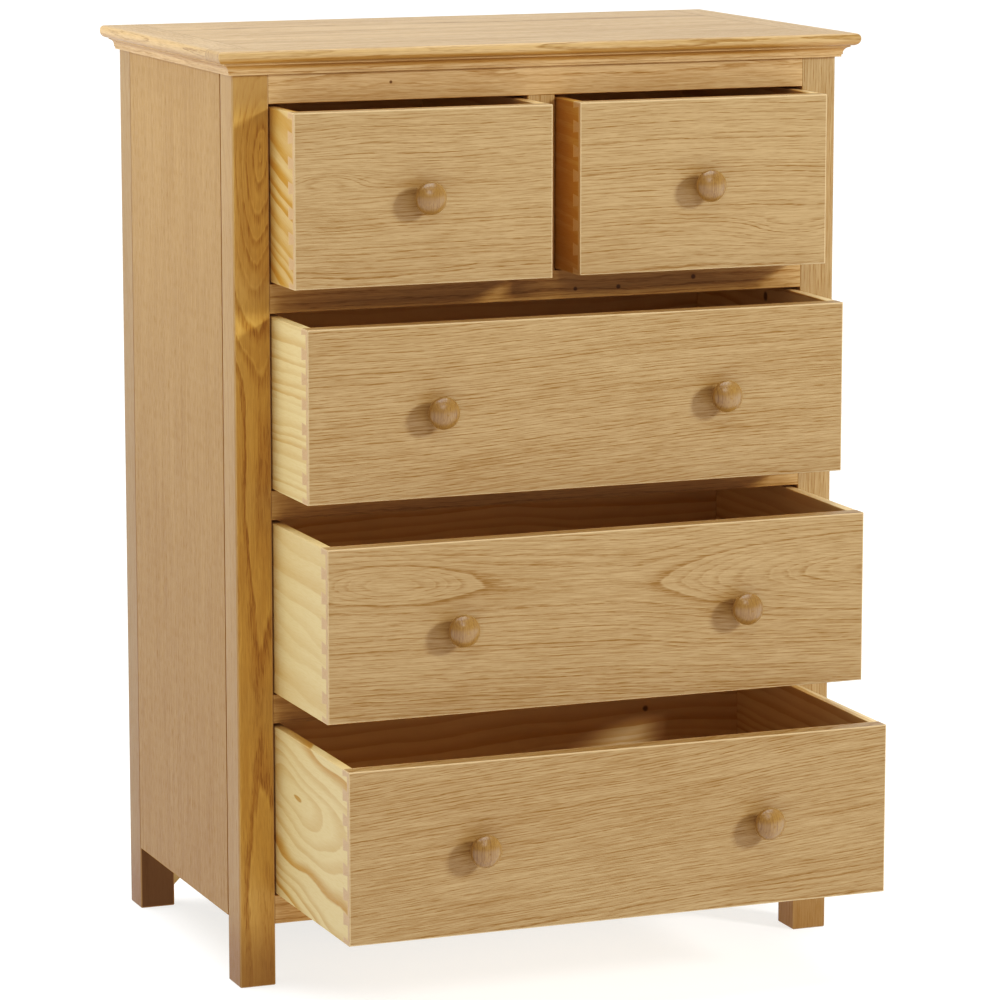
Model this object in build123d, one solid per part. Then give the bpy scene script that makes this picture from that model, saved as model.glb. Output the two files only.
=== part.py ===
from build123d import *
import os

# Tall oak chest: two small drawers over three wide ones, on four square legs.
# Modelled with x to the right, y to the back and z up, from the floor point of the front left
# leg's outer corner; placed() then moves every piece to the part frame, whose origin is on the
# floor under the middle of the chest as it stands with its drawers partly open.

# ---- carcass ----
WIDTH = 800.0            # across the legs
DEPTH = 460.0            # front face of the legs to their back face
LEG = 46.0               # square leg
LEG_HEIGHT = 1130.0      # floor to the top of the legs
RAIL = 36.0              # face height of every rail, and face width of the centre divider
RAIL_THICK = 22.0        # front rails and divider, front to back
OPENING = 218.0          # clear height of every drawer opening
FOOT = 78.0              # floor to the underside of the bottom rail
ROUND = 3.0              # rounding on the legs' outer corners
EASE = 1.2               # small rounding on the other worked edges
TENON = 20.0             # length of the rail tenons
TENON_THICK = 10.0
SHOULDER = 4.0           # tenon set in from the rail's top and bottom
MORTISE_SLACK = 1.0      # room left past the end of a tenon or tongue

# ---- panels ----
SIDE_THICK = 18.0
SIDE_BOTTOM = 82.5       # floor to the lower edge of the side panels
TONGUE = 8.0             # tongue length and thickness on the side panels
TONGUE_INSET = 5.0
V_JOINT = 1.5            # bevel where a side panel meets a leg
BACK_THICK = 6.0
BACK_RECESS = 6.0        # back panel in from the legs' back face
BACK_RAIL_THICK = 16.0

# ---- top and cornice ----
CORNICE = 14.5           # height of the moulded frame between legs and top
CORNICE_WIDTH = 46.0     # how far the frame reaches in over the legs
CORNICE_FILLET = (5.5, 3.0)    # lower fillet: how proud it stands, and its height
COVE_START = 7.0         # cove: proud of the legs at its foot and at its head
COVE_END = 14.0
COVE_LIP = 2.0           # flat above the cove
COVE_SAG = 1.9           # hollow of the cove
TOP_THICK = 15.5
TOP_OVERHANG = 24.0      # front and sides
TOP_BACK_OVERHANG = 5.0
TOP_STRIP = 51.0         # width of the strips framing the top board
NOSE_UPPER = 6.0         # roundings on the top's edge
NOSE_LOWER = 8.5

# ---- runners and brackets ----
RUNNER_WIDTH = 24.0
RUNNER_RISE = 2.2        # runner stands this much above the rail in front of it
GUIDE_RISE = 18.0
GUIDE_GAP = 0.5          # between a drawer side and its guide
SIDE_INSET = 2.0         # drawer clear of the opening on each side
BRACKET = 60.0

# ---- drawers ----
FRONT_HEIGHT = 211.5
FRONT_THICK = 22.0
FRONT_GAP = 2.5          # front clear of the rail below it
BOX_THICK = 13.0         # drawer sides and back
DRAWER_DEPTH = 428.0
LAP = 6.0                # oak left in front of the dovetails
TAILS = 7
TAIL_SHARE = 0.62        # tail's wide end as a share of the pitch
TAIL_SLOPE = 0.14        # run-in of each flank over its length
BACK_TAILS = 5
BACK_DROP = 10.0         # drawer back below the top of the sides
BOTTOM_THICK = 6.0
BOTTOM_UP = 10.0         # drawer bottom up from the lower edge
GROOVE = 6.0             # depth of the grooves that hold the bottom
GROOVE_SLACK = 0.5
SMALL_OPEN_LEFT = 87.0   # how far each drawer stands open
SMALL_OPEN_RIGHT = 77.0
UPPER_OPEN = 130.0
MIDDLE_OPEN = 196.0
LOWER_OPEN = 267.0

# ---- knobs ----
KNOB_RADIUS = 19.8
KNOB_LENGTH = 34.0
KNOB_WIDEST = 21.0       # distance from the drawer front to the knob's widest ring
KNOB_SHOULDER = 6.5      # radius of the rounding in front of that ring
KNOB_FOOT = 10.0         # radius of the turned foot
KNOB_WAIST = 8.0
KNOB_FOOT_RIM = 1.5
KNOB_NECK = 10.5         # length of the neck
KNOB_SPREAD = 372.0      # between the two knobs of a wide drawer
SCREW_RADIUS = 2.0
SCREW_HOLE = 2.25
KNOB_BORE = 2.05
SCREW_IN_KNOB = 14.0
SCREW_HEAD = (4.2, 2.4)  # radius and height
HEAD_ROUND = 1.44        # rounding on the head's rim

TOTAL = LEG_HEIGHT + CORNICE + TOP_THICK
MIDDLE = WIDTH / 2
FRONT_MOST = -(LOWER_OPEN + KNOB_LENGTH)
BACK_MOST = DEPTH + TOP_BACK_OVERHANG
ORIGIN = (MIDDLE, (FRONT_MOST + BACK_MOST) / 2, 0.0)
LEVELS = [FOOT + RAIL + i * (OPENING + RAIL) for i in range(4)]   # floor of each opening
LOWER_LEVEL, MIDDLE_LEVEL, UPPER_LEVEL, SMALL_LEVEL = LEVELS
BACK_PANEL_FRONT = DEPTH - BACK_RECESS - BACK_THICK
BACK_RAIL_FRONT = BACK_PANEL_FRONT - BACK_RAIL_THICK
DIVIDER_LEFT = MIDDLE - RAIL / 2
DIVIDER_RIGHT = MIDDLE + RAIL / 2


def block(x0, x1, y0, y1, z0, z1):
    """A plain board between two corners."""
    middle = ((x0 + x1) / 2, (y0 + y1) / 2, (z0 + z1) / 2)
    return Pos(*middle) * Box(x1 - x0, y1 - y0, z1 - z0)


def across(board):
    """The same piece on the other side of the chest."""
    return mirror(board, about=Plane.YZ.offset(MIDDLE))


def tenon_at(x0, x1, y0, y1, z0):
    """Tenon or mortise of a rail whose lower edge is at z0."""
    return block(x0, x1, y0, y1, z0 + SHOULDER, z0 + RAIL - SHOULDER)


# ---- legs ----
FRONT_TENON_Y = (RAIL_THICK - TENON_THICK) / 2
BACK_TENON_Y = BACK_RAIL_FRONT + (BACK_RAIL_THICK - TENON_THICK) / 2
FRONT_RAIL_LEVELS = [FOOT] + [level + OPENING for level in LEVELS]
BACK_RAIL_LEVELS = [FOOT, UPPER_LEVEL + OPENING, SMALL_LEVEL + OPENING]


def corner_near(section, vertex):
    """The section's own corner where the given vertex was before an earlier edge was worked."""
    return section.vertices().sort_by_distance((vertex.X, vertex.Y, 0))[0]


def leg(y0, outer_round_at_front):
    """A left leg with its foot eased, before its joints are cut."""
    section = Pos(LEG / 2, y0 + LEG / 2) * Rectangle(LEG, LEG)
    ranked = section.vertices().sort_by(lambda v: v.X * WIDTH + v.Y)
    outer_front, outer_back, inner_front, inner_back = ranked
    exposed = outer_front if outer_round_at_front else outer_back
    panel_side = outer_back if outer_round_at_front else outer_front
    section = fillet(exposed, ROUND)
    section = chamfer(corner_near(section, panel_side), V_JOINT)
    section = fillet([corner_near(section, inner_front), corner_near(section, inner_back)], EASE)
    solid = extrude(section, LEG_HEIGHT)
    foot = solid.faces().sort_by(Axis.Z)[0]
    return chamfer(foot.edges(), EASE)


def side_groove(y0):
    """Groove in a left leg for the side panel's tongue, which runs out at the leg's top."""
    return block(
        TONGUE_INSET, TONGUE_INSET + TONGUE, y0, y0 + TONGUE + MORTISE_SLACK, SIDE_BOTTOM, LEG_HEIGHT
    )


def front_left_leg():
    solid = leg(0, True)
    for level in FRONT_RAIL_LEVELS:
        solid -= tenon_at(
            LEG - TENON - MORTISE_SLACK, LEG, FRONT_TENON_Y, FRONT_TENON_Y + TENON_THICK, level
        )
    return solid - side_groove(LEG - TONGUE - MORTISE_SLACK)


def back_left_leg():
    solid = leg(DEPTH - LEG, False)
    for level in BACK_RAIL_LEVELS:
        solid -= tenon_at(
            LEG - TENON - MORTISE_SLACK, LEG, BACK_TENON_Y, BACK_TENON_Y + TENON_THICK, level
        )
    solid -= side_groove(DEPTH - LEG)
    return solid - block(
        LEG - TONGUE - MORTISE_SLACK, LEG,
        BACK_PANEL_FRONT, BACK_PANEL_FRONT + BACK_THICK, FOOT, LEG_HEIGHT,
    )


# ---- carcass boards ----
def left_side_panel():
    solid = block(0, SIDE_THICK, LEG, DEPTH - LEG, SIDE_BOTTOM, LEG_HEIGHT)
    outer = solid.faces().sort_by(Axis.X)[0]
    solid = chamfer(outer.edges().filter_by(Axis.Z), V_JOINT)
    return solid + block(
        TONGUE_INSET, TONGUE_INSET + TONGUE,
        LEG - TONGUE, DEPTH - LEG + TONGUE, SIDE_BOTTOM, LEG_HEIGHT,
    )


def back_panel():
    return block(
        LEG - TONGUE, WIDTH - LEG + TONGUE,
        BACK_PANEL_FRONT, BACK_PANEL_FRONT + BACK_THICK, FOOT, LEG_HEIGHT,
    )


def divider_tenon(z0, z1):
    half = RAIL / 2 - SHOULDER
    return block(
        MIDDLE - half, MIDDLE + half, FRONT_TENON_Y, FRONT_TENON_Y + TENON_THICK, z0, z1
    )


def front_rail(level):
    """A rail between the front legs; the two round the small drawers hold the divider too."""
    solid = block(LEG, WIDTH - LEG, 0, RAIL_THICK, level, level + RAIL)
    face = solid.faces().sort_by(Axis.Y)[0]
    solid = fillet(face.edges().filter_by(Axis.X), EASE)
    solid += tenon_at(
        LEG - TENON, WIDTH - LEG + TENON, FRONT_TENON_Y, FRONT_TENON_Y + TENON_THICK, level
    )
    below, above = SMALL_LEVEL, SMALL_LEVEL + OPENING
    if level + RAIL == below:
        solid -= divider_tenon(below - TONGUE - MORTISE_SLACK, below)
    if level == above:
        solid -= divider_tenon(above, above + TONGUE + MORTISE_SLACK)
    return solid


def centre_divider():
    below, above = SMALL_LEVEL, SMALL_LEVEL + OPENING
    solid = block(DIVIDER_LEFT, DIVIDER_RIGHT, 0, RAIL_THICK, below, above)
    face = solid.faces().sort_by(Axis.Y)[0]
    solid = fillet(face.edges().filter_by(Axis.Z), EASE)
    return solid + divider_tenon(below - TONGUE, above + TONGUE)


def back_rail(level):
    solid = block(
        LEG, WIDTH - LEG, BACK_RAIL_FRONT, BACK_PANEL_FRONT, level, level + RAIL
    )
    return solid + tenon_at(
        LEG - TENON, WIDTH - LEG + TENON, BACK_TENON_Y, BACK_TENON_Y + TENON_THICK, level
    )


def drawer_runners():
    """Runners behind the front rails, which also keep the drawer below from tipping."""
    y0, y1 = RAIL_THICK, BACK_RAIL_FRONT
    guide_face = LEG + SIDE_INSET - GUIDE_GAP
    inner = LEG + RUNNER_WIDTH
    made = []
    for level in LEVELS:
        runner = block(guide_face, inner, y0, y1, level - RAIL, level + RUNNER_RISE)
        made += [runner, across(runner)]
    kicker = block(guide_face, inner, y0, y1, SMALL_LEVEL + OPENING, LEG_HEIGHT)
    centre = block(
        DIVIDER_LEFT - RUNNER_WIDTH, DIVIDER_RIGHT + RUNNER_WIDTH,
        y0, y1, SMALL_LEVEL - RAIL, SMALL_LEVEL + RUNNER_RISE,
    )
    return made + [kicker, across(kicker), centre]


def drawer_guides():
    """Strips beside the runners that keep the drawers straight."""
    guide_face = LEG + SIDE_INSET - GUIDE_GAP
    made = []
    for level in LEVELS:
        top = level + RUNNER_RISE + GUIDE_RISE
        guide = block(SIDE_THICK, guide_face, LEG, DEPTH - LEG, level - RAIL, top)
        made += [guide, across(guide)]
    floor = SMALL_LEVEL + RUNNER_RISE
    half = RAIL / 2 + SIDE_INSET - GUIDE_GAP
    made.append(
        block(MIDDLE - half, MIDDLE + half, RAIL_THICK, BACK_RAIL_FRONT, floor, floor + GUIDE_RISE)
    )
    return made


def corner_brackets():
    """Triangular blocks in the corners between the back legs and the bottom back rail."""
    corner = Polygon((LEG, FOOT), (LEG + BRACKET, FOOT), (LEG, FOOT - BRACKET), align=None)
    plane = Plane.XZ.offset(-BACK_PANEL_FRONT)
    bracket = extrude(plane * corner, BACK_RAIL_THICK, dir=(0, -1, 0))
    return [bracket, across(bracket)]


# ---- cornice ----
def cornice_section():
    """Half section, x outward from the leg's face and y up: fillet, cove and lip."""
    proud, fillet_top = CORNICE_FILLET
    cove_top = CORNICE - COVE_LIP
    foot, head = (COVE_START, fillet_top), (COVE_END, cove_top)
    hollow = (
        (COVE_START + COVE_END) / 2 - COVE_SAG,
        (fillet_top + cove_top) / 2 + COVE_SAG,
    )
    outline = Polyline(
        (COVE_END, cove_top), (COVE_END, CORNICE), (-CORNICE_WIDTH, CORNICE),
        (-CORNICE_WIDTH, 0), (proud, 0), (proud, fillet_top), foot,
    )
    return make_face(outline + ThreePointArc(foot, hollow, head))


def cornice_front():
    plane = Plane((0, 0, LEG_HEIGHT), x_dir=(0, -1, 0), z_dir=(-1, 0, 0))
    strip = extrude(plane * cornice_section(), COVE_END)
    strip += extrude(plane * cornice_section(), -(WIDTH + COVE_END))
    mitred = Polygon(
        (-COVE_END, -COVE_END), (WIDTH + COVE_END, -COVE_END),
        (WIDTH - CORNICE_WIDTH, CORNICE_WIDTH), (CORNICE_WIDTH, CORNICE_WIDTH), align=None,
    )
    return strip & extrude(Pos(0, 0, LEG_HEIGHT) * mitred, CORNICE)


def cornice_left():
    plane = Plane((0, -COVE_END, LEG_HEIGHT), x_dir=(-1, 0, 0), z_dir=(0, 1, 0))
    strip = extrude(plane * cornice_section(), DEPTH + COVE_END)
    mitred = Polygon(
        (-COVE_END, -COVE_END), (CORNICE_WIDTH, CORNICE_WIDTH),
        (CORNICE_WIDTH, DEPTH), (-COVE_END, DEPTH), align=None,
    )
    return strip & extrude(Pos(0, 0, LEG_HEIGHT) * mitred, CORNICE)


def cornice_back():
    return block(
        CORNICE_WIDTH, WIDTH - CORNICE_WIDTH, DEPTH - CORNICE_WIDTH, DEPTH,
        LEG_HEIGHT, LEG_HEIGHT + CORNICE,
    )


# ---- top ----
def whole_top():
    """The top as one moulded slab: a nosing on three edges, nearly square at the back."""
    wide = WIDTH + 2 * TOP_OVERHANG
    deep = DEPTH + TOP_OVERHANG + TOP_BACK_OVERHANG
    z = TOTAL - TOP_THICK / 2
    y = (BACK_MOST - TOP_OVERHANG) / 2
    nosed = Rectangle(wide, TOP_THICK)
    nosed = fillet(nosed.vertices().group_by(Axis.Y)[0], NOSE_LOWER)
    nosed = fillet(nosed.vertices().group_by(Axis.Y)[-1], NOSE_UPPER)
    half_nosed = Rectangle(deep, TOP_THICK)
    half_nosed = fillet(half_nosed.vertices().group_by(Axis.X)[-1], EASE)
    front = half_nosed.vertices().group_by(Axis.X)[0].sort_by(Axis.Y)
    half_nosed = fillet(front[0], NOSE_LOWER)
    top_corner = half_nosed.vertices().sort_by_distance((-deep / 2, TOP_THICK / 2, 0))[0]
    half_nosed = fillet(top_corner, NOSE_UPPER)
    seen_from_front = Plane((MIDDLE, y, z), x_dir=(1, 0, 0), z_dir=(0, -1, 0))
    seen_from_side = Plane((MIDDLE, y, z), x_dir=(0, 1, 0), z_dir=(1, 0, 0))
    lengthwise = extrude(seen_from_front * nosed, deep, both=True)
    sideways = extrude(seen_from_side * half_nosed, wide, both=True)
    return lengthwise & sideways


def top_pieces():
    """The slab cut into its front strip, side strips and the board between them."""
    slab = whole_top()
    z0, z1 = TOTAL - TOP_THICK, TOTAL
    y_front, y_joint = -TOP_OVERHANG, TOP_STRIP - TOP_OVERHANG
    x_joint = TOP_STRIP - TOP_OVERHANG
    strip = slab & block(-TOP_OVERHANG, WIDTH + TOP_OVERHANG, y_front, y_joint, z0, z1)
    left = slab & block(-TOP_OVERHANG, x_joint, y_joint, BACK_MOST, z0, z1)
    board = slab & block(x_joint, WIDTH - x_joint, y_joint, BACK_MOST, z0, z1)
    return strip, left, across(left), board


# ---- drawers ----
def tail(y_base, y_tip, z, pitch):
    """One dovetail, centred at height z, as thick as a drawer side."""
    wide = pitch * TAIL_SHARE / 2
    narrow = wide - abs(y_tip - y_base) * TAIL_SLOPE
    outline = Polygon(
        (y_base, z - narrow), (y_tip, z - wide), (y_tip, z + wide), (y_base, z + narrow), align=None
    )
    return extrude(Plane.YZ * outline, BOX_THICK, dir=(1, 0, 0))


def tails(count, y_base, y_tip, z0, z1):
    pitch = (z1 - z0) / count
    return [tail(y_base, y_tip, z0 + (i + 0.5) * pitch, pitch) for i in range(count)]


def knob():
    """Turned knob on the y axis, standing out from y = 0 towards -y.

    Its half section has x as the radius and y as the distance out: foot, hollow neck, the swell
    of the back, a round shoulder past the widest ring and a flatter cap centred on the axis.
    """
    foot = Polyline((0, 0), (KNOB_FOOT, 0), (KNOB_FOOT, KNOB_FOOT_RIM))
    waist_at = (KNOB_FOOT_RIM + KNOB_NECK) / 2
    neck = ThreePointArc((KNOB_FOOT, KNOB_FOOT_RIM), (KNOB_WAIST, waist_at), (KNOB_FOOT, KNOB_NECK))
    ring = (KNOB_RADIUS, KNOB_WIDEST)
    shoulder_x = KNOB_RADIUS - KNOB_SHOULDER
    swell = TangentArc(ring, (KNOB_FOOT, KNOB_NECK), tangent=(0, -1))
    rise = KNOB_LENGTH - KNOB_WIDEST
    cap_radius = (shoulder_x**2 + rise**2 - KNOB_SHOULDER**2) / (2 * (rise - KNOB_SHOULDER))
    cap_centre = KNOB_LENGTH - cap_radius
    to_shoulder = Vector(shoulder_x, KNOB_WIDEST - cap_centre).normalized()
    meet = (to_shoulder.X * cap_radius, cap_centre + to_shoulder.Y * cap_radius)
    shoulder = TangentArc(ring, meet, tangent=(0, 1))
    cap = TangentArc(meet, (0, KNOB_LENGTH), tangent=shoulder % 1)
    half = make_face(foot + neck + swell + shoulder + cap + Line((0, KNOB_LENGTH), (0, 0)))
    turned = Rot(90, 0, 0) * revolve(Plane.XZ * half, Axis.Z)
    return turned - rod(KNOB_BORE, -SCREW_IN_KNOB - MORTISE_SLACK, 0)


def rod(radius, y0, y1):
    """A round bar along the y axis."""
    return extrude(Plane((0, y0, 0), x_dir=(1, 0, 0), z_dir=(0, 1, 0)) * Circle(radius), y1 - y0)


def knob_screw():
    radius, height = SCREW_HEAD
    head = rod(radius, FRONT_THICK, FRONT_THICK + height)
    rim = head.faces().sort_by(Axis.Y)[-1].edges()
    return fillet(rim, HEAD_ROUND) + rod(SCREW_RADIUS, -SCREW_IN_KNOB, FRONT_THICK)


def drawer(name, x0, x1, level, opened, knob_xs):
    """The pieces of one drawer that fits between x0 and x1, standing open by that much."""
    wide = x1 - x0 - 2 * SIDE_INSET
    front_tails = tails(TAILS, FRONT_THICK, LAP, 0, FRONT_HEIGHT)
    mirrored = Plane.YZ.offset(wide / 2)

    back = block(
        0, wide, DRAWER_DEPTH - BOX_THICK, DRAWER_DEPTH,
        BOTTOM_UP + BOTTOM_THICK, FRONT_HEIGHT - BACK_DROP,
    )
    for piece in tails(
        BACK_TAILS, DRAWER_DEPTH - BOX_THICK, DRAWER_DEPTH,
        BOTTOM_UP + BOTTOM_THICK, FRONT_HEIGHT - BACK_DROP,
    ):
        back -= piece
        back -= mirror(piece, about=mirrored)

    side = block(0, BOX_THICK, FRONT_THICK, DRAWER_DEPTH, 0, FRONT_HEIGHT)
    side = fillet(side.faces().sort_by(Axis.Z)[-1].edges().filter_by(Axis.Y), EASE)
    for piece in front_tails:
        side += piece
    side -= back
    side -= block(
        BOX_THICK - GROOVE - GROOVE_SLACK, BOX_THICK,
        FRONT_THICK - GROOVE - GROOVE_SLACK, DRAWER_DEPTH, BOTTOM_UP, BOTTOM_UP + BOTTOM_THICK,
    )

    front = block(0, wide, 0, FRONT_THICK, 0, FRONT_HEIGHT)
    front = fillet(front.faces().sort_by(Axis.Y)[0].edges(), EASE)
    for piece in front_tails:
        front -= piece
        front -= mirror(piece, about=mirrored)
    front -= block(
        BOX_THICK, wide - BOX_THICK, FRONT_THICK - GROOVE - GROOVE_SLACK, FRONT_THICK,
        BOTTOM_UP, BOTTOM_UP + BOTTOM_THICK,
    )

    bottom = block(
        BOX_THICK - GROOVE, wide - BOX_THICK + GROOVE, FRONT_THICK - GROOVE, DRAWER_DEPTH,
        BOTTOM_UP, BOTTOM_UP + BOTTOM_THICK,
    )

    knobs, screws = [], []
    for x in knob_xs:
        at = Pos(x - x0 - SIDE_INSET, 0, FRONT_HEIGHT / 2)
        front -= at * rod(SCREW_HOLE, 0, FRONT_THICK)
        knobs.append(at * knob())
        screws.append(at * knob_screw())

    suffix = "s" if len(knob_xs) > 1 else ""
    pieces = {
        "front": [front],
        "left_side": [side],
        "right_side": [mirror(side, about=mirrored)],
        "back": [back],
        "bottom": [bottom],
        "knob" + suffix: knobs,
        "knob_screw" + suffix: screws,
    }
    place = Pos(x0 + SIDE_INSET, -opened, level + FRONT_GAP)
    return {f"{name}_{key}": [place * one for one in solids] for key, solids in pieces.items()}


# ---- the whole chest ----
def carcass():
    strip, left_strip, right_strip, board = top_pieces()
    front_leg, back_leg, side_panel, cornice = (
        front_left_leg(), back_left_leg(), left_side_panel(), cornice_left()
    )
    bottom, lower, middle, upper, top = [front_rail(level) for level in FRONT_RAIL_LEVELS]
    return {
        "top_panel": [board],
        "top_front_strip": [strip],
        "top_left_strip": [left_strip],
        "top_right_strip": [right_strip],
        "cornice_front": [cornice_front()],
        "cornice_left": [cornice],
        "cornice_right": [across(cornice)],
        "cornice_back": [cornice_back()],
        "front_left_leg": [front_leg],
        "front_right_leg": [across(front_leg)],
        "back_left_leg": [back_leg],
        "back_right_leg": [across(back_leg)],
        "left_side_panel": [side_panel],
        "right_side_panel": [across(side_panel)],
        "back_panel": [back_panel()],
        "top_front_rail": [top],
        "upper_drawer_rail": [upper],
        "middle_drawer_rail": [middle],
        "lower_drawer_rail": [lower],
        "bottom_front_rail": [bottom],
        "centre_divider": [centre_divider()],
        "back_rails": [back_rail(level) for level in BACK_RAIL_LEVELS],
        "drawer_runners": drawer_runners(),
        "drawer_guides": drawer_guides(),
        "corner_brackets": corner_brackets(),
    }


def drawers():
    left, right = LEG, WIDTH - LEG
    knob_left, knob_right = MIDDLE - KNOB_SPREAD / 2, MIDDLE + KNOB_SPREAD / 2
    both = [knob_left, knob_right]
    made = {}
    made |= drawer("top_left_drawer", left, DIVIDER_LEFT, SMALL_LEVEL, SMALL_OPEN_LEFT, [knob_left])
    made |= drawer("top_right_drawer", DIVIDER_RIGHT, right, SMALL_LEVEL, SMALL_OPEN_RIGHT, [knob_right])
    made |= drawer("upper_drawer", left, right, UPPER_LEVEL, UPPER_OPEN, both)
    made |= drawer("middle_drawer", left, right, MIDDLE_LEVEL, MIDDLE_OPEN, both)
    made |= drawer("lower_drawer", left, right, LOWER_LEVEL, LOWER_OPEN, both)
    return made


def placed(solids):
    """One node in the part frame: a lone solid, or a group of separate ones."""
    x, y, z = ORIGIN
    moved = [Pos(-x, -y, -z) * one for one in solids]
    return moved[0] if len(moved) == 1 else Compound(children=moved)


os.makedirs("parts", exist_ok=True)
for node, solids in (carcass() | drawers()).items():
    export_step(placed(solids), f"parts/{node}.step")
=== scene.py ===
import math

import bpy
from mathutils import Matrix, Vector


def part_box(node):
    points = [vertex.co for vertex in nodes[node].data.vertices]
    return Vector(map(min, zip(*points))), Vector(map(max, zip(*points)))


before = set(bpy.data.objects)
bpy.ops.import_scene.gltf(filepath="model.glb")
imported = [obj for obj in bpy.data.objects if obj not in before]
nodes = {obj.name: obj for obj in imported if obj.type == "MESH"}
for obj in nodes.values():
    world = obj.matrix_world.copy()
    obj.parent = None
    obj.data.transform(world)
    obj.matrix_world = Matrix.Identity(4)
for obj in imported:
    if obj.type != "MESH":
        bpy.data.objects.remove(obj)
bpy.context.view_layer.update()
MM = 1000.0     # the frame is in metres, grain is reckoned in millimetres

# Which row axes run along the grain, across the board's face and through its thickness.
X, Y, Z = 0, 1, 2
LENGTHWISE = (X, Z, Y)      # drawer fronts, rails and backs
UPRIGHT = (Z, X, Y)         # legs and divider
UPRIGHT_SIDE = (Z, Y, X)    # side panels
FRONT_TO_BACK = (Y, Z, X)   # drawer sides
FLAT = (X, Y, Z)            # top board and drawer bottoms
FLAT_SIDE = (Y, X, Z)       # side strips of the top and cornice


# ---- node graph shorthand ----
class Graph:
    """Builds one shader node tree; a value may be a number, a colour or another node's socket."""

    def __init__(self, tree):
        self.tree = tree

    def add(self, kind, **settings):
        node = self.tree.nodes.new("ShaderNode" + kind)
        for key, value in settings.items():
            setattr(node, key, value)
        return node

    def feed(self, socket, value):
        if isinstance(value, bpy.types.NodeSocket):
            self.tree.links.new(value, socket)
        else:
            socket.default_value = value

    def math(self, operation, *values):
        node = self.add("Math", operation=operation)
        for socket, value in zip(node.inputs, values):
            self.feed(socket, value)
        return node.outputs[0]

    def plus(self, *values):
        total = values[0]
        for value in values[1:]:
            total = self.math("ADD", total, value)
        return total

    def times(self, *values):
        total = values[0]
        for value in values[1:]:
            total = self.math("MULTIPLY", total, value)
        return total

    def vector(self, x, y, z):
        node = self.add("CombineXYZ")
        for socket, value in zip(node.inputs, (x, y, z)):
            self.feed(socket, value)
        return node.outputs[0]

    def split(self, vector):
        node = self.add("SeparateXYZ")
        self.feed(node.inputs[0], vector)
        return node.outputs[0], node.outputs[1], node.outputs[2]

    def noise(self, along, across, through, cell, seed, detail=2.0, roughness=0.5):
        """Noise from 0 to 1 whose cells measure cell = (along, across, through) in mm."""
        node = self.add("TexNoise", noise_dimensions="4D")
        scaled = [self.math("DIVIDE", v, c) for v, c in zip((along, across, through), cell)]
        self.feed(node.inputs["Vector"], self.vector(*scaled))
        self.feed(node.inputs["W"], seed)
        node.inputs["Scale"].default_value = 1.0
        node.inputs["Detail"].default_value = detail
        node.inputs["Roughness"].default_value = roughness
        return node.outputs[0]

    def centred(self, value, size):
        """A 0 to 1 value turned into one from -size / 2 to size / 2."""
        return self.times(self.math("SUBTRACT", value, 0.5), size)

    def ease(self, value, low, high):
        """0 below low, 1 above high, smooth between."""
        node = self.add("MapRange", interpolation_type="SMOOTHSTEP")
        for name, entry in (("Value", value), ("From Min", low), ("From Max", high)):
            self.feed(node.inputs[name], entry)
        return node.outputs[0]

    def mix(self, factor, a, b, blend="MIX"):
        node = self.add("Mix", data_type="RGBA", blend_type=blend)
        for index, value in ((0, factor), (6, a), (7, b)):
            self.feed(node.inputs[index], value)
        return node.outputs[2]


def colour(red, green, blue):
    return (red, green, blue, 1.0)


# ---- timber ----
RING_INPUTS = {
    "Seed": 0.0,
    "Pith across": 110.0,    # where the log's centre line lies beside the board's middle, mm
    "Pith depth": 60.0,      # and how far behind its face, mm
    "Skew": 0.0,             # how far the grain runs off the board's length
    "Slope": 0.0,            # how fast the board climbs out of the log, past Slope start
    "Slope start": 0.0,
    "Ring": 3.8,             # growth ring, mm
    "Wobble": 9.0,           # how crooked the log was, mm
    "Fleck": 42.0,           # how long the pale and dark fibres are, mm
    "Oval along": 0.0,       # a bulge in the rings: where it is, how long and high, how strong
    "Oval across": 0.0,
    "Oval length": 60.0,
    "Oval height": 20.0,
    "Oval lift": 0.0,
}
RING_OUTPUTS = ("Line", "Late", "Pores", "Fibre", "Blotch")


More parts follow.
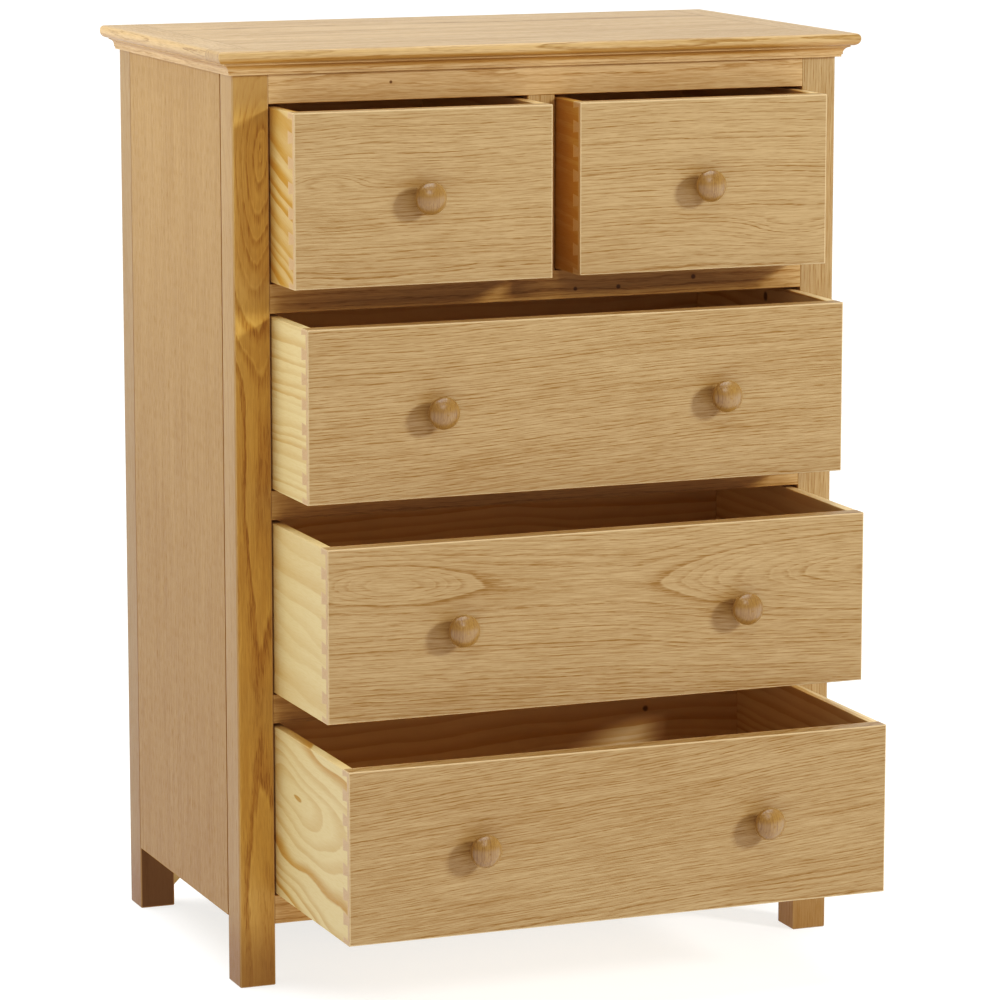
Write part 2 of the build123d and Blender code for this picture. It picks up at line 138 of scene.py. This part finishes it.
def ring_group():
    """Growth rings of a log that a board is cut from, in mm from the board's middle."""
    group = bpy.data.node_groups.new("growth_rings", "ShaderNodeTree")
    group.interface.new_socket("Board", in_out="INPUT", socket_type="NodeSocketVector")
    for name, value in RING_INPUTS.items():
        socket = group.interface.new_socket(name, in_out="INPUT", socket_type="NodeSocketFloat")
        socket.default_value = value
    for name in RING_OUTPUTS:
        group.interface.new_socket(name, in_out="OUTPUT", socket_type="NodeSocketFloat")
    g = Graph(group)
    given = group.nodes.new("NodeGroupInput").outputs
    result = group.nodes.new("NodeGroupOutput").inputs
    along, level, through = g.split(given["Board"])
    across = g.math("SUBTRACT", level, g.times(along, given["Skew"]))
    seed = given["Seed"]

    def noise(cell, shift, **more):
        return g.noise(along, across, through, cell, g.plus(seed, shift), **more)

    # The log's slow bend, its shorter swaying, then ripples and hair-fine waves, all in mm.
    bend = g.centred(noise((420, 500, 500), 1.3, detail=0.0), given["Wobble"])
    sway = g.centred(noise((170, 70, 120), 7.9, detail=1.0), given["Wobble"])
    ripple = g.centred(noise((90, 12, 12), 4.1, detail=1.0), 3.4)
    hair = g.centred(noise((18, 2.4, 2.4), 2.2, detail=0.0), 1.3)
    from_pith = g.plus(g.math("SUBTRACT", across, given["Pith across"]), g.times(bend, 3.0), sway)
    climb = g.math("SMOOTH_MAX", g.math("SUBTRACT", along, given["Slope start"]), 0.0, 60.0)
    sunk = g.plus(through, given["Pith depth"], g.times(climb, given["Slope"], -1.0), g.times(bend, 2.0))
    radius = g.math("SQRT", g.plus(g.math("POWER", from_pith, 2.0), g.math("POWER", sunk, 2.0)))
    ahead = g.math("DIVIDE", g.math("SUBTRACT", along, given["Oval along"]), given["Oval length"])
    beside = g.math("DIVIDE", g.math("SUBTRACT", across, given["Oval across"]), given["Oval height"])
    spread = g.plus(g.math("POWER", ahead, 2.0), g.math("POWER", beside, 2.0))
    bulge = g.times(g.math("EXPONENT", g.times(spread, -1.0)), given["Oval lift"])
    phase = g.math("DIVIDE", g.plus(radius, bulge, ripple, hair), given["Ring"])
    # Rings are of unequal width, and each year's is of its own strength.
    uneven = g.add("TexNoise", noise_dimensions="1D")
    g.feed(uneven.inputs["W"], g.plus(g.times(phase, 0.31), seed))
    uneven.inputs["Scale"].default_value = 1.0
    uneven.inputs["Detail"].default_value = 0.0
    phase = g.plus(phase, g.times(uneven.outputs[0], 1.4))
    part = g.math("FRACT", phase)
    year = g.add("TexWhiteNoise", noise_dimensions="1D")
    g.feed(year.inputs["W"], g.plus(g.math("FLOOR", phase), seed))
    strength = g.plus(g.times(g.math("POWER", year.outputs["Value"], 1.5), 0.65), 0.35)
    # Within a ring: a dark line near its start, and late wood that deepens and then ends sharply.
    line = g.times(g.ease(part, 0.0, 0.16), g.math("SUBTRACT", 1.0, g.ease(part, 0.16, 0.62)))
    late = g.times(g.ease(part, 0.2, 0.9), g.math("SUBTRACT", 1.0, g.ease(part, 0.92, 1.0)))
    pores = g.ease(noise((15, 0.9, 0.9), 9.4, detail=1.0), 0.47, 0.62)
    fibre = noise((given["Fleck"], 1.5, 1.5), 3.7, detail=3.0, roughness=0.65)
    blotch = noise((260, 34, 60), 5.5, detail=2.0)
    for name, value in zip(
        RING_OUTPUTS, (g.times(line, strength), g.times(late, strength), pores, fibre, blotch)
    ):
        g.feed(result[name], value)
    return group


RINGS = ring_group()


def edge_mask(g, board, half, reach):
    """1 on the board's edges and corners, 0 elsewhere: near the limit on two of three axes."""
    near = []
    for value, limit in zip(board, half):
        near.append(g.ease(g.math("ABSOLUTE", value), limit - reach, limit - reach * 0.2))
    pairs = [g.times(near[0], near[1]), g.times(near[0], near[2]), g.times(near[1], near[2])]
    return g.math("MINIMUM", g.plus(*pairs), 1.0)


def board_coordinates(g, low, high, axes, glued):
    """The object's coordinates as along, across and through in mm from the board's middle, the number
    of the glued stave they fall in, and the same place in metres."""
    place = g.add("TexCoord").outputs["Object"]
    row = g.split(place)
    middle = (low + high) / 2
    board = [g.times(g.math("SUBTRACT", row[a], middle[a]), MM) for a in axes]
    lane = 0.0
    if glued:
        lane = g.math("FLOOR", g.math("DIVIDE", board[1], glued))
    return board, lane, row


def knot_mask(g, board, along, across, radius):
    """1 in a knot's heart, fading out past its radius."""
    ahead = g.math("SUBTRACT", board[0], along)
    beside = g.math("SUBTRACT", board[1], across)
    away = g.math("SQRT", g.plus(g.math("POWER", ahead, 2.0), g.math("POWER", beside, 2.0)))
    return g.math("SUBTRACT", 1.0, g.ease(away, radius * 0.7, radius * 1.6))


def timber(name, node, axes, seed, light, dark, pore, rings, look, glued=0.0, knots=()):
    """A board's material: rings sets the growth ring inputs, look how strongly each thing shows,
    glued the width of the staves it is glued from, and knots where they lie and how big."""
    low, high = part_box(node)
    half = [(high[a] - low[a]) / 2 * MM for a in axes]
    material = bpy.data.materials.new(name)
    material.use_nodes = True
    g = Graph(material.node_tree)
    shader = material.node_tree.nodes["Principled BSDF"]
    board, lane, row = board_coordinates(g, low, high, axes, glued)
    ring = g.add("Group", node_tree=RINGS)
    if glued:      # every stave is cut from another place in the log
        shifted = g.plus(board[1], g.times(lane, 37.0))
        g.feed(ring.inputs["Board"], g.vector(board[0], shifted, board[2]))
        g.feed(ring.inputs["Seed"], g.plus(g.times(lane, 4.7), seed))
    else:
        g.feed(ring.inputs["Board"], g.vector(*board))
        ring.inputs["Seed"].default_value = seed
    for key, value in rings.items():
        ring.inputs[key].default_value = value
    fibre = g.centred(ring.outputs["Fibre"], look.get("fibre", 0.9))
    blotch = g.centred(ring.outputs["Blotch"], look.get("blotch", 0.5))
    gaps = look.get("broken", 0.5)
    broken = g.plus(g.times(ring.outputs["Pores"], gaps), 1.0 - gaps * 0.5)
    shade = g.plus(
        g.times(ring.outputs["Line"], broken, look.get("line", 0.0)),
        g.times(ring.outputs["Late"], look.get("late", 0.0)), fibre, blotch, look.get("base", 0.15),
    )
    tone = g.mix(g.math("MINIMUM", g.math("MAXIMUM", shade, 0.0), 1.0), light, dark)
    in_pores = g.times(ring.outputs["Pores"], g.plus(g.times(ring.outputs["Line"], 0.5), 0.5))
    tone = g.mix(g.times(in_pores, look.get("pores", 0.5)), tone, pore)
    if glued:      # and is a little lighter or darker than its neighbours
        patch = g.add("TexWhiteNoise", noise_dimensions="1D")
        g.feed(patch.inputs["W"], g.plus(lane, seed))
        stave = g.plus(g.times(patch.outputs["Value"], 0.1), 0.95)
        tone = g.mix(1.0, tone, g.vector(stave, stave, stave), blend="MULTIPLY")
    for knot in knots:
        tone = g.mix(g.times(knot_mask(g, board, *knot), 0.85), tone, KNOT_TONE)
    normal = g.split(g.add("TexCoord").outputs["Normal"])
    end = g.ease(g.math("ABSOLUTE", normal[axes[0]]), 0.75, 0.98)
    tone = g.mix(g.times(end, look.get("end", 0.4)), tone, look.get("end_tone", dark))
    if "lit_faces" in look:      # a leg's side faces and its top end: a plainer tone, painted light beside the front left leg's painted shadow
        flank = g.ease(g.math("ABSOLUTE", normal[axes[1]]), 0.6, 0.95)
        upper = g.ease(board[0], half[0] - 70.0, half[0] - 25.0)
        tone = g.mix(g.times(g.math("MAXIMUM", flank, upper), 0.75), tone, look["lit_faces"])
    # painted shade: faces that look down are darkened towards a dark orange
    if "under" in look:
        below = g.ease(g.times(normal[Z], -1.0), 0.0, 0.6)
        tone = g.mix(g.times(below, 0.55), tone, look["under"])
    if "foot" in look:      # a leg's bottom end, darkened as painted shade near the floor
        lower = g.math("SUBTRACT", 1.0, g.ease(board[0], 20.0 - half[0], 110.0 - half[0]))
        tone = g.mix(g.times(lower, 0.65), tone, look["foot"])
    for place, width in look.get("seams", ()):
        gap = g.math("ABSOLUTE", g.math("SUBTRACT", row[place[0]], place[1]))
        tone = g.mix(g.math("SUBTRACT", 0.75, g.ease(gap, width * 0.4, width)), tone, SEAM_TONE)
    # edges: handling wear, and where the edge tone is set lighter, a painted highlight of edges catching
    # light
    wear_and_highlight = edge_mask(g, board, half, WEAR_AND_HIGHLIGHT_REACH)
    tone = g.mix(g.times(wear_and_highlight, look.get("wear", 0.35)), tone, look.get("wear_and_highlight_tone", light))
    g.feed(shader.inputs["Base Color"], tone)
    dull = g.plus(
        look.get("rough", 0.42), g.times(in_pores, 0.2), g.times(wear_and_highlight, 0.08), g.times(blotch, 0.12)
    )
    g.feed(shader.inputs["Roughness"], dull)
    height = g.plus(g.times(in_pores, -1.0), g.times(ring.outputs["Line"], -0.25), g.times(fibre, 0.4))
    bump = g.add("Bump")
    bump.inputs["Strength"].default_value = look.get("bump", 0.35)
    bump.inputs["Distance"].default_value = GRAIN_DEPTH
    g.feed(bump.inputs["Height"], height)
    g.feed(shader.inputs["Normal"], bump.outputs[0])
    shader.inputs["Specular IOR Level"].default_value = look.get("gloss", 0.3)
    shader.inputs["Coat Weight"].default_value = look.get("coat", 0.06)
    shader.inputs["Coat Roughness"].default_value = 0.3
    return material


WEAR_AND_HIGHLIGHT_REACH = 2.2        # how far in from an edge handling wear and the painted edge highlight show, mm
GRAIN_DEPTH = 0.0004    # pores and fibres stand this deep in the bump, m
# Oak, in turn: fronts and plain parts; front left leg, painted darker and warmer as the open drawers'
# shadow; side panels; rails, brightened as painted light against their shade; cornice and top rail,
# brightened as painted light likewise; top and knobs.
OAK_LIGHT, OAK_DARK = colour(0.41, 0.282, 0.128), colour(0.225, 0.13, 0.039)
SHADOWED_LEG_LIGHT, SHADOWED_LEG_DARK = colour(0.575, 0.35, 0.10), colour(0.285, 0.135, 0.022)
PANEL_LIGHT, PANEL_DARK = colour(0.392, 0.243, 0.088), colour(0.24, 0.135, 0.038)
BRIGHTENED_RAIL_LIGHT, BRIGHTENED_RAIL_DARK = colour(0.53, 0.34, 0.14), colour(0.31, 0.17, 0.05)
BRIGHTENED_EDGE_LIGHT, BRIGHTENED_EDGE_DARK = colour(0.545, 0.362, 0.165), colour(0.325, 0.185, 0.06)
TOP_LIGHT, TOP_DARK = colour(0.52, 0.345, 0.145), colour(0.30, 0.175, 0.055)
KNOB_LIGHT, KNOB_DARK = colour(0.315, 0.192, 0.06), colour(0.12, 0.065, 0.02)
OAK_PORE, KNOT_TONE = colour(0.18, 0.10, 0.027), colour(0.05, 0.018, 0.006)
# Where oak looks different: end grain; edges, with wear and a painted highlight; a leg's flank and top
# end, in a plainer tone as painted light; its foot and undersides, in painted shade; joints.
PINK_END, EDGE_HIGHLIGHT = colour(0.55, 0.36, 0.185), colour(0.60, 0.44, 0.235)
LEG_EDGE_HIGHLIGHT, LEG_LIT_FACE_TONE = colour(0.45, 0.30, 0.14), colour(0.31, 0.19, 0.066)
FOOT_SHADE_TONE, SEAM_TONE = colour(0.20, 0.105, 0.025), colour(0.07, 0.035, 0.012)
UNDERSIDE_SHADE_TONE = colour(0.33, 0.165, 0.035)
# Pine from the plain boards to those painted lighter and warmer as painted light inside the drawers, then
# the thin drawer bottoms, painted lighter as well, and the back.
PINE_LIGHT, PINE_DARK = colour(0.625, 0.49, 0.23), colour(0.43, 0.23, 0.042)
BRIGHTENED_PINE_LIGHT, BRIGHTENED_PINE_DARK = colour(0.88, 0.68, 0.37), colour(0.66, 0.41, 0.14)
PINE_PORE = colour(0.40, 0.19, 0.045)
BRIGHTENED_PLY_LIGHT, BRIGHTENED_PLY_DARK = colour(0.87, 0.69, 0.41), colour(0.77, 0.56, 0.27)
BACK_LIGHT, BACK_DARK = colour(0.56, 0.385, 0.185), colour(0.42, 0.265, 0.11)

OAK_LOOK = dict(line=0.75, late=0.2, fibre=1.9, blotch=0.5, base=0.15, pores=0.24, wear=0.45)
PINE_LOOK = dict(
    line=0.0, late=0.9, fibre=0.3, blotch=0.5, base=0.0, pores=0.05, broken=0.0, rough=0.5, bump=0.15,
    end=0.3, wear=0.2, coat=0.05,
)


def oak(node, axes, seed, light=OAK_LIGHT, dark=OAK_DARK, look=None, glued=0.0, knots=(), **rings):
    finish = OAK_LOOK | (look or {})
    made = timber("oak_" + node, node, axes, seed, light, dark, OAK_PORE, rings, finish, glued, knots)
    dress(node, made)


def pine(node, axes, seed, knots=(), brightened=0.0, look=None, **rings):
    """Drawer and frame pine, mixed from the plain boards at 0 to the boards painted lighter and warmer as
    painted light inside the drawers at 1.
    """
    tones = [
        [a + (b - a) * brightened for a, b in zip(plain, brightest)]
        for plain, brightest in ((PINE_LIGHT, BRIGHTENED_PINE_LIGHT), (PINE_DARK, BRIGHTENED_PINE_DARK))
    ]
    rings = {"Ring": 12.0, "Wobble": 20.0, "Pith depth": 60.0, "Pith across": 150.0, "Fleck": 60.0} | rings
    made = timber(
        "pine_" + node, node, axes, seed, *tones, PINE_PORE, rings, PINE_LOOK | (look or {}), knots=knots
    )
    dress(node, made)


def plywood(node, axes, seed, light, dark):
    finish = PINE_LOOK | dict(line=0.1, late=0.35, fibre=0.8)
    rings = {"Ring": 9.0, "Pith depth": 140.0, "Wobble": 60.0}
    dress(node, timber("ply_" + node, node, axes, seed, light, dark, OAK_PORE, rings, finish))


def screw_steel(node):
    """Bright screw steel with dull patches."""
    material = bpy.data.materials.new("steel_" + node)
    material.use_nodes = True
    g = Graph(material.node_tree)
    shader = material.node_tree.nodes["Principled BSDF"]
    shader.inputs["Metallic"].default_value = 1.0
    dull = g.add("TexNoise")
    dull.inputs["Scale"].default_value = 900.0
    tone = g.mix(dull.outputs[0], colour(0.6, 0.6, 0.58), colour(0.42, 0.41, 0.38))
    g.feed(shader.inputs["Base Color"], tone)
    g.feed(shader.inputs["Roughness"], g.plus(g.times(dull.outputs[0], 0.3), 0.2))
    bump = g.add("Bump")
    bump.inputs["Strength"].default_value = 0.2
    bump.inputs["Distance"].default_value = 0.0001
    g.feed(bump.inputs["Height"], dull.outputs[0])
    g.feed(shader.inputs["Normal"], bump.outputs[0])
    dress(node, material)


def dress(node, material):
    mesh = nodes[node].data
    mesh.materials.clear()
    mesh.materials.append(material)


# ---- carcass ----
# A seam is a plane, as its axis and where it cuts it, and the width of the dark line there.
GLUE_LINE, SIDE_JOINT = 0.0016, 0.0022
STRIP_SEAM = ((Y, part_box("top_front_strip")[1].y), GLUE_LINE)
ALL_SEAMS = [
    STRIP_SEAM,
    ((X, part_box("top_left_strip")[1].x), GLUE_LINE),
    ((X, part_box("top_right_strip")[0].x), GLUE_LINE),
]
# The top's nosing takes painted shade on its underside.
TOP_LOOK = dict(
    line=1.0, blotch=1.3, fibre=1.8, base=0.1, rough=0.38, coat=0.12, gloss=0.35,
    seams=[STRIP_SEAM], under=UNDERSIDE_SHADE_TONE,
)
PANEL_LOOK = dict(line=0.5, late=0.2, fibre=2.3, blotch=0.4, base=0.1, pores=0.4, gloss=0.15, coat=0.0)
PANEL_FRONT, PANEL_BACK = -0.036, 0.332     # where the side panels meet the legs, m
JOINTS = dict(seams=[((Y, PANEL_FRONT), SIDE_JOINT), ((Y, PANEL_BACK), SIDE_JOINT)])
# The left legs: side faces and top end in a plainer tone as painted light, painted shade at the foot, a
# painted highlight along the edges.
LEFT_LEG_LOOK = JOINTS | dict(
    lit_faces=LEG_LIT_FACE_TONE, foot=FOOT_SHADE_TONE, line=0.75, fibre=0.8, pores=0.3, blotch=1.1, wear=0.8,
    wear_and_highlight_tone=LEG_EDGE_HIGHLIGHT,
)
# The cornice takes painted shade on its undersides.
CORNICE_LOOK = dict(under=UNDERSIDE_SHADE_TONE)
LEFT_LEG_RINGS = {
    "Pith depth": 80.0, "Pith across": 9.0, "Slope": 0.2, "Slope start": 190.0, "Wobble": 16.0,
    "Ring": 7.0, "Fleck": 60.0,
}
PANEL_RINGS = {"Pith depth": 60.0, "Pith across": 420.0, "Ring": 5.0, "Wobble": 12.0, "Fleck": 90.0}
RAIL_RINGS = {"Pith depth": 70.0, "Pith across": 25.0}
STAVE_WIDTH = 112.0     # of the top's main board, mm
oak("top_panel", FLAT, 3.1, TOP_LIGHT, TOP_DARK, TOP_LOOK | dict(seams=ALL_SEAMS), glued=STAVE_WIDTH,
    **{"Pith depth": 90.0, "Ring": 5.0})
oak("top_front_strip", FLAT, 5.4, TOP_LIGHT, TOP_DARK, TOP_LOOK, **{"Pith depth": 40.0})
for side, seed in (("left", 8.6), ("right", 9.8)):
    oak(f"top_{side}_strip", FLAT_SIDE, seed, TOP_LIGHT, TOP_DARK,
        TOP_LOOK | dict(base=0.05, seams=ALL_SEAMS), **{"Pith depth": 70.0, "Pith across": 300.0})
    oak(f"cornice_{side}", FLAT_SIDE, seed + 30, BRIGHTENED_EDGE_LIGHT, BRIGHTENED_EDGE_DARK, CORNICE_LOOK)
    oak(f"{side}_side_panel", UPRIGHT_SIDE, seed + 11, PANEL_LIGHT, PANEL_DARK, PANEL_LOOK | JOINTS,
        **PANEL_RINGS)
# The front left leg takes oak painted as the open drawers' warm shadow; the back left leg takes plain oak.
for end, seed, light, dark in (("front", 2.7, SHADOWED_LEG_LIGHT, SHADOWED_LEG_DARK), ("back", 6.3, OAK_LIGHT, OAK_DARK)):
    oak(f"cornice_{end}", FLAT, seed + 40, BRIGHTENED_EDGE_LIGHT, BRIGHTENED_EDGE_DARK, CORNICE_LOOK)
    oak(f"{end}_left_leg", UPRIGHT, seed + 3.3, light, dark, LEFT_LEG_LOOK, **LEFT_LEG_RINGS)
    # The right legs take painted shade at the foot.
    oak(f"{end}_right_leg", UPRIGHT, seed + 5.9, look=JOINTS | dict(foot=FOOT_SHADE_TONE))
# A knot is given by its place along and across the board and its radius, in mm.
# The top rail takes oak brightened as painted light against the overhang's shade, as do the cornices.
oak("top_front_rail", LENGTHWISE, 1.9, BRIGHTENED_EDGE_LIGHT, BRIGHTENED_EDGE_DARK, knots=[(-197.0, 4.0, 1.6)], **RAIL_RINGS)
# The lower rails take oak brightened as painted light against the shade they sit in.
for rail, seed, knots in (
    ("upper_drawer_rail", 4.8, [(46.0, -6.0, 2.2), (104.0, -6.0, 2.4), (206.0, 2.0, 2.6)]),
    ("middle_drawer_rail", 7.7, []),
    ("lower_drawer_rail", 10.6, []),
    ("bottom_front_rail", 13.5, []),
):
    oak(rail, LENGTHWISE, seed, BRIGHTENED_RAIL_LIGHT, BRIGHTENED_RAIL_DARK, knots=knots, **RAIL_RINGS)
oak("centre_divider", UPRIGHT, 16.2)
for part, axes in (
    ("back_rails", LENGTHWISE), ("drawer_runners", FRONT_TO_BACK), ("drawer_guides", FRONT_TO_BACK),
    ("corner_brackets", LENGTHWISE),
):
    pine(part, axes, 20.0)
plywood("back_panel", UPRIGHT, 44.0, BACK_LIGHT, BACK_DARK)

# ---- drawers ----
# What each oak front's grain does; Base is how dark the board is.
FIGURE = {
    "top_left_drawer": {
        "Seed": 21.3, "Base": 0.1, "Pith across": -150.0, "Pith depth": 90.0, "Wobble": 18.0,
        "Oval along": -125.0, "Oval across": 26.0, "Oval length": 60.0, "Oval height": 16.0,
        "Oval lift": -20.0,
    },
    "top_right_drawer": {
        "Seed": 27.9, "Base": 0.04, "Pith across": -130.0, "Pith depth": 70.0, "Ring": 4.0,
        "Oval along": 120.0, "Oval across": -60.0, "Oval length": 70.0, "Oval height": 22.0,
        "Oval lift": 14.0,
    },
    "upper_drawer": {
        "Seed": 33.4, "Base": 0.15, "Pith across": -190.0, "Pith depth": 80.0, "Skew": 0.035,
    },
    "middle_drawer": {
        "Seed": 39.2, "Base": 0.15, "Pith across": 45.0, "Pith depth": 62.0, "Slope": 0.14,
        "Slope start": 60.0, "Wobble": 7.0, "Oval along": -270.0, "Oval across": 52.0,
        "Oval length": 75.0, "Oval height": 20.0, "Oval lift": -20.0, "Ring": 4.6, "Skew": -0.03,
    },
    "lower_drawer": {
        "Seed": 45.8, "Base": 0.22, "Pith across": -150.0, "Pith depth": 60.0, "Skew": 0.07,
        "Wobble": 16.0,
    },
}
PINE_KNOTS = {
    "lower_drawer_back": [(208.0, 50.0, 3.2)],
    "upper_drawer_right_side": [(-16.0, 90.0, 5.0)],
}
# The pine sides that show their grain to the camera.
PINE_FIGURE = {
    # The side between the two top drawers has a darker base as painted shade.
    "top_right_drawer_left_side": {"look": dict(base=0.9), "Ring": 17.0},
    "top_left_drawer_left_side": {
        "look": dict(base=0.42, blotch=1.0), "Ring": 17.0, "Skew": 0.3, "Wobble": 50.0,
    },
    "upper_drawer_left_side": {"look": dict(late=0.55)},
    "middle_drawer_left_side": {"look": dict(base=0.08, late=0.45), "Ring": 26.0, "Wobble": 45.0},
    "lower_drawer_left_side": {
        "look": dict(late=1.15, base=-0.1), "Ring": 19.0, "Wobble": 60.0, "Pith across": 30.0,
        "Pith depth": 40.0, "Slope": 0.16, "Slope start": -230.0,
    },
}
# Drawer fronts: pink end grain, and a painted highlight along their edges besides wear.
FRONT_LOOK = dict(end_tone=PINK_END, end=0.8, wear=0.8, wear_and_highlight_tone=EDGE_HIGHLIGHT)
KNOB_LOOK = dict(line=0.5, fibre=1.2, rough=0.3, coat=0.5, gloss=0.5, wear=0.0, end=0.0)
for drawer, figure in FIGURE.items():
    plural = "" if drawer.startswith("top") else "s"
    rings = dict(figure)
    seed = rings.pop("Seed")
    base = rings.pop("Base")
    oak(drawer + "_front", LENGTHWISE, seed, look=FRONT_LOOK | dict(base=base), **rings)
    # Right sides and backs take pine painted lighter and warmer as painted light inside the drawers; the
    # bottoms take the brightened plywood.
    for shift, part, axes, brightened in (
        (1, drawer + "_left_side", FRONT_TO_BACK, 0.0),
        (2, drawer + "_right_side", FRONT_TO_BACK, 0.7),
        (3, drawer + "_back", LENGTHWISE, 1.0),
    ):
        pine(part, axes, seed + shift, PINE_KNOTS.get(part, ()), brightened, **PINE_FIGURE.get(part, {}))
    plywood(drawer + "_bottom", FLAT, seed + 4, BRIGHTENED_PLY_LIGHT, BRIGHTENED_PLY_DARK)
    oak(f"{drawer}_knob{plural}", UPRIGHT, seed + 5, KNOB_LIGHT, KNOB_DARK, KNOB_LOOK,
        **{"Pith depth": 30.0, "Ring": 3.2})
    screw_steel(f"{drawer}_knob_screw{plural}")

# ---- floor, light and camera ----
bpy.ops.mesh.primitive_plane_add(size=120.0, location=(0, 0, 0))
floor = bpy.context.object
floor.name = "floor"
floor_paint = bpy.data.materials.new("floor")
floor_paint.use_nodes = True
paint = floor_paint.node_tree.nodes["Principled BSDF"]
paint.inputs["Base Color"].default_value = colour(0.35, 0.35, 0.35)
paint.inputs["Roughness"].default_value = 0.9
paint.inputs["Specular IOR Level"].default_value = 0.1
paint.inputs["Emission Color"].default_value = colour(1.0, 1.0, 1.0)
paint.inputs["Emission Strength"].default_value = 0.72
floor.data.materials.append(floor_paint)

scene = bpy.context.scene
scene.view_settings.view_transform = "Standard"
scene.view_settings.use_curve_mapping = True
# Warm shadows: how green and blue fall away in the dark, scene-linear in and out.
GREEN, BLUE = 1, 2
GRADE = {
    GREEN: ((0.03, 0.020), (0.09, 0.063), (0.25, 0.218), (0.34, 0.324), (0.57, 0.57)),
    BLUE: (
        (0.015, 0.008), (0.04, 0.019), (0.065, 0.034), (0.117, 0.088), (0.156, 0.139), (0.25, 0.246),
        (0.36, 0.36),
    ),
}
for channel, points in GRADE.items():
    curve = scene.view_settings.curve_mapping.curves[channel]
    for shade_in, shade_out in points:
        curve.points.new(shade_in, shade_out)
scene.view_settings.curve_mapping.update()
world = bpy.data.worlds.new("studio")
world.use_nodes = True
sky = Graph(world.node_tree)
background = world.node_tree.nodes["Background"]
background.inputs["Color"].default_value = colour(1.0, 1.0, 1.0)
# The studio's walls: white at the horizon, elsewhere brighter behind the chest than in front.
toward = sky.split(sky.add("TexCoord").outputs["Generated"])
behind = sky.ease(toward[1], -0.35, 0.6)
rim = sky.math("SUBTRACT", 1.0, sky.ease(sky.math("ABSOLUTE", toward[2]), 0.06, 0.22))
glow = sky.math("MAXIMUM", sky.plus(sky.times(behind, 0.55), 0.14), rim)
sky.feed(background.inputs["Strength"], glow)
scene.world = world


def softbox(name, place, aim, size, watts, mirrored=True):
    """Square area light standing at place and turned to aim; mirrored if polish reflects it."""
    data = bpy.data.lights.new(name, "AREA")
    data.energy = watts
    data.size = size
    light = bpy.data.objects.new(name, data)
    light.location = place
    light.visible_camera = False
    light.visible_glossy = mirrored
    light.rotation_mode = "QUATERNION"
    light.rotation_quaternion = (Vector(place) - Vector(aim)).to_track_quat("Z", "Y")
    scene.collection.objects.link(light)


softbox("key", (4.9, -5.7, 3.5), (0.0, -0.1, 0.6), 1.2, 480.0, mirrored=False)
softbox("front", (-0.6, -3.0, 3.2), (0.0, -0.2, 0.6), 1.6, 24.0)
softbox("fill", (-1.2, 0.3, 1.4), (-0.4, 0.1, 0.95), 0.6, 7.0)
# A wide, soft light from above, a little from behind.
ceiling = bpy.data.lights.new("ceiling", "SUN")
ceiling.energy = 2.5
ceiling.angle = math.radians(60.0)
overhead = bpy.data.objects.new("ceiling", ceiling)
overhead.rotation_euler = (math.radians(-12.0), 0.0, 0.0)
scene.collection.objects.link(overhead)

# A long lens at eye height, tilted down instead of shifted.
camera_data = bpy.data.cameras.new("camera")
camera = bpy.data.objects.new("camera", camera_data)
camera_data.sensor_width = 36.0
camera_data.lens = 167.0
camera_data.clip_end = 200.0
camera.location = (-2.146, -5.367, 1.581)
yaw, pitch = math.radians(21.59), math.radians(9.87)
forward = Vector((math.sin(yaw) * math.cos(pitch), math.cos(yaw) * math.cos(pitch), -math.sin(pitch)))
camera.rotation_mode = "QUATERNION"
camera.rotation_quaternion = (-forward).to_track_quat("Z", "Y")
scene.collection.objects.link(camera)
scene.camera = camera
